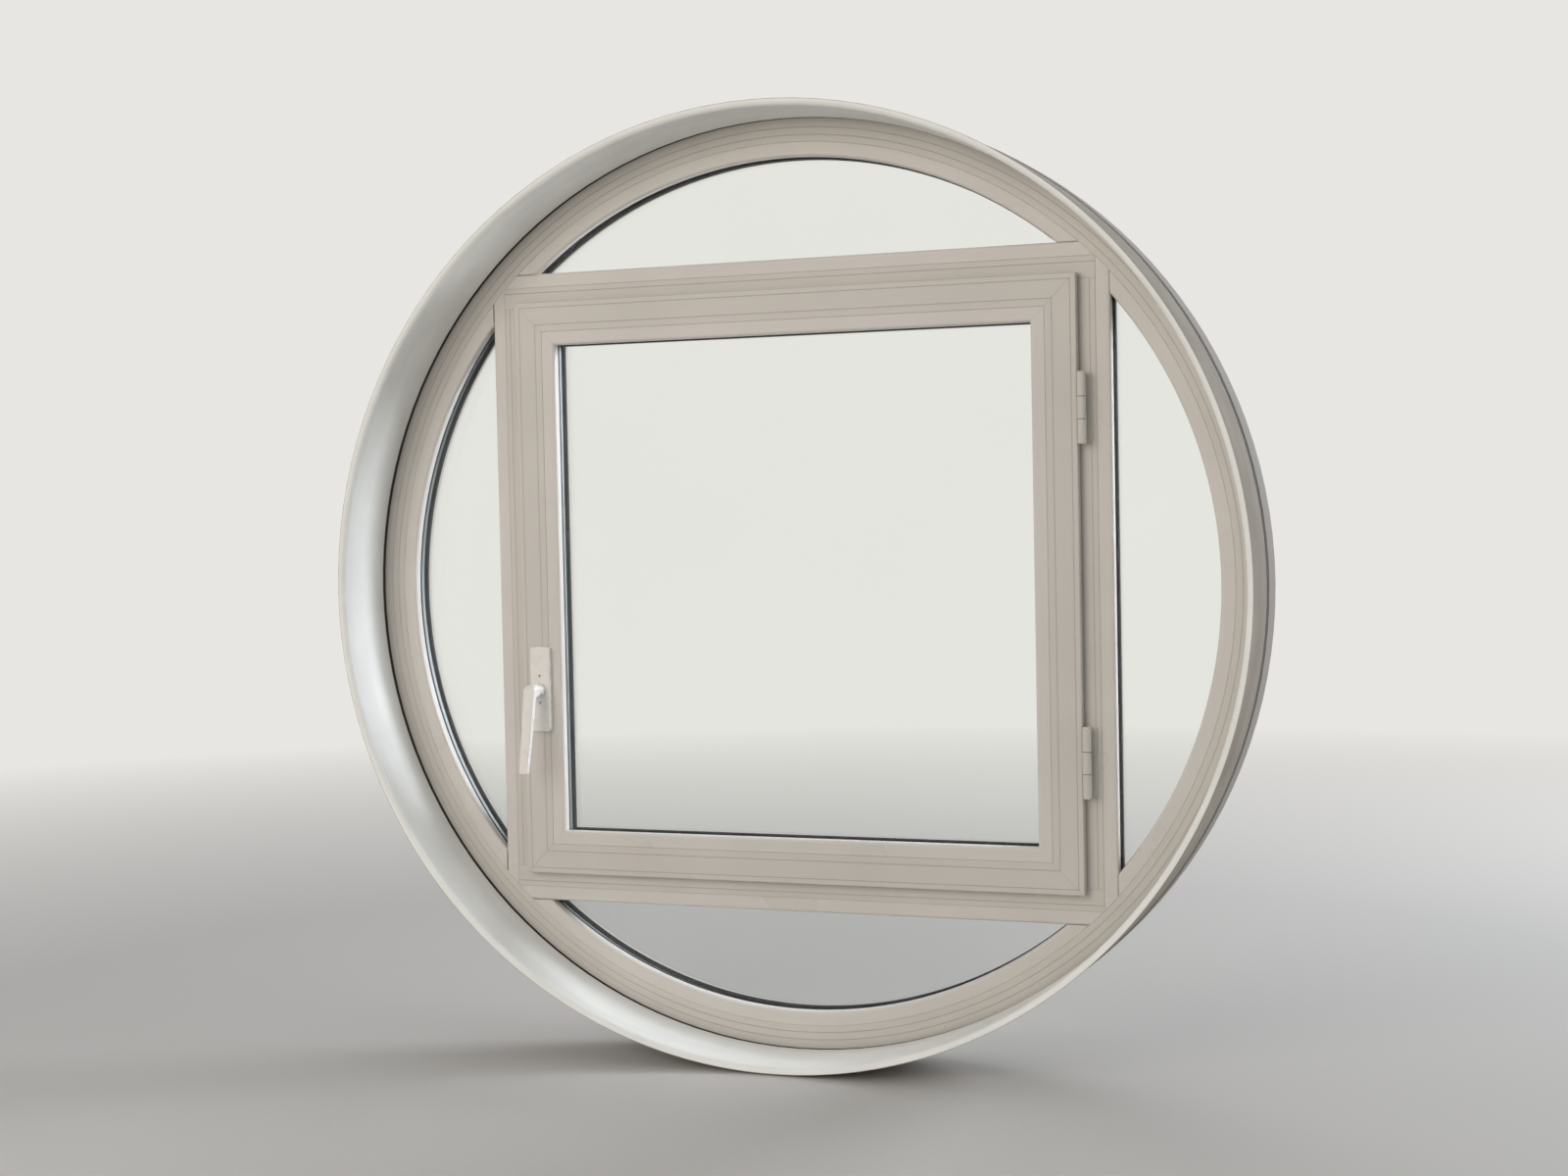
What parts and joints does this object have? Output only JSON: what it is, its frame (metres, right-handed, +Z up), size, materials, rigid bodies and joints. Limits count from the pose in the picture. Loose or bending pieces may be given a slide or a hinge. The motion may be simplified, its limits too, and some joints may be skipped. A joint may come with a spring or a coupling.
{
  "type": "round window",
  "caption": "Round white plastic window with a square side-hung sash, segment lights round it, a lever handle, barrel hinges and the white lining of its opening.",
  "frame": {"origin": "on the ring's axis, at the middle of the frame profile's depth", "axes": "+Y points outdoors along the ring's axis, +Z is up, +X is to the right as seen from the room"},
  "size_m": [1.4558, 0.194, 1.4558],
  "materials": {
    "pvc_frame": "satin extruded plastic, warm white",
    "pvc_bead": "satin extruded plastic, warm white",
    "pvc_cap": "moulded plastic",
    "liner_paint": "white gloss paint on a bent lining",
    "joint_sealant": "dark brown sealant in an open joint",
    "gasket_rubber": "black extruded rubber",
    "glass": "clear float glass",
    "spacer_bar": "anodised hollow bar in dark sealant",
    "setting_block": "moulded plastic",
    "hinge_paint": "satin enamel, warm white",
    "handle_paint": "gloss enamel, warm white",
    "screw_steel": "zinc plated",
    "lock_steel": "zinc plated"
  },
  "bodies": {
    "frame": {"bottom_light_arc_bead": "pvc_bead", "bottom_light_gaskets": "gasket_rubber", "bottom_light_inner_pane": "glass", "bottom_light_outer_pane": "glass", "bottom_light_spacer": "spacer_bar", "bottom_light_straight_bead": "pvc_bead", "bottom_transom": "pvc_frame", "drain_caps": "pvc_cap", "frame_setting_blocks": "setting_block", "frame_weather_seal": "gasket_rubber", "left_light_arc_bead": "pvc_bead", "left_light_gaskets": "gasket_rubber", "left_light_inner_pane": "glass", "left_light_outer_pane": "glass", "left_light_spacer": "spacer_bar", "left_light_straight_bead": "pvc_bead", "left_mullion": "pvc_frame", "liner_seal": "joint_sealant", "lock_keeps": "lock_steel", "lower_hinge_frame_leaf": "hinge_paint", "lower_hinge_pin": "hinge_paint", "outer_frame": "pvc_frame", "reveal_liner": "liner_paint", "right_light_arc_bead": "pvc_bead", "right_light_gaskets": "gasket_rubber", "right_light_inner_pane": "glass", "right_light_outer_pane": "glass", "right_light_spacer": "spacer_bar", "right_light_straight_bead": "pvc_bead", "right_mullion": "pvc_frame", "top_light_arc_bead": "pvc_bead", "top_light_gaskets": "gasket_rubber", "top_light_inner_pane": "glass", "top_light_outer_pane": "glass", "top_light_spacer": "spacer_bar", "top_light_straight_bead": "pvc_bead", "top_transom": "pvc_frame", "upper_hinge_frame_leaf": "hinge_paint", "upper_hinge_pin": "hinge_paint"},
    "sash": {"lower_hinge_sash_leaf": "hinge_paint", "sash_bottom_bead": "pvc_bead", "sash_frame": "pvc_frame", "sash_gaskets": "gasket_rubber", "sash_inner_pane": "glass", "sash_left_bead": "pvc_bead", "sash_outer_pane": "glass", "sash_overlap_seal": "gasket_rubber", "sash_right_bead": "pvc_bead", "sash_setting_blocks": "setting_block", "sash_spacer": "spacer_bar", "sash_top_bead": "pvc_bead", "upper_hinge_sash_leaf": "hinge_paint", "lock_gearbox": "lock_steel", "lock_faceplate": "lock_steel", "handle_plate": "handle_paint", "handle_screws": "screw_steel"},
    "handle": {"handle_lever": "handle_paint", "handle_spindle": "lock_steel", "lock_follower": "lock_steel"},
    "lock": {"lock_bar": "lock_steel"}
  },
  "joints": [
    {"name": "sash_swing", "type": "hinge", "parent": "frame", "child": "sash", "pos_m": [0.464, -0.05, 0], "axis": [0, 0, 1], "range_deg": [0, 115]},
    {"name": "handle_turn", "type": "hinge", "parent": "sash", "child": "handle", "pos_m": [-0.4225, -0.05, -0.16], "axis": [0, -1, 0], "range_deg": [0, 90]},
    {"name": "lock_slide", "type": "slide", "parent": "sash", "child": "lock", "axis": [0, 0, -1], "range_m": [0, 0.01383]}
  ],
  "couplings": [
    {"joint": "lock_slide", "follows": "handle_turn", "m_per_rad": 0.0088}
  ]
}
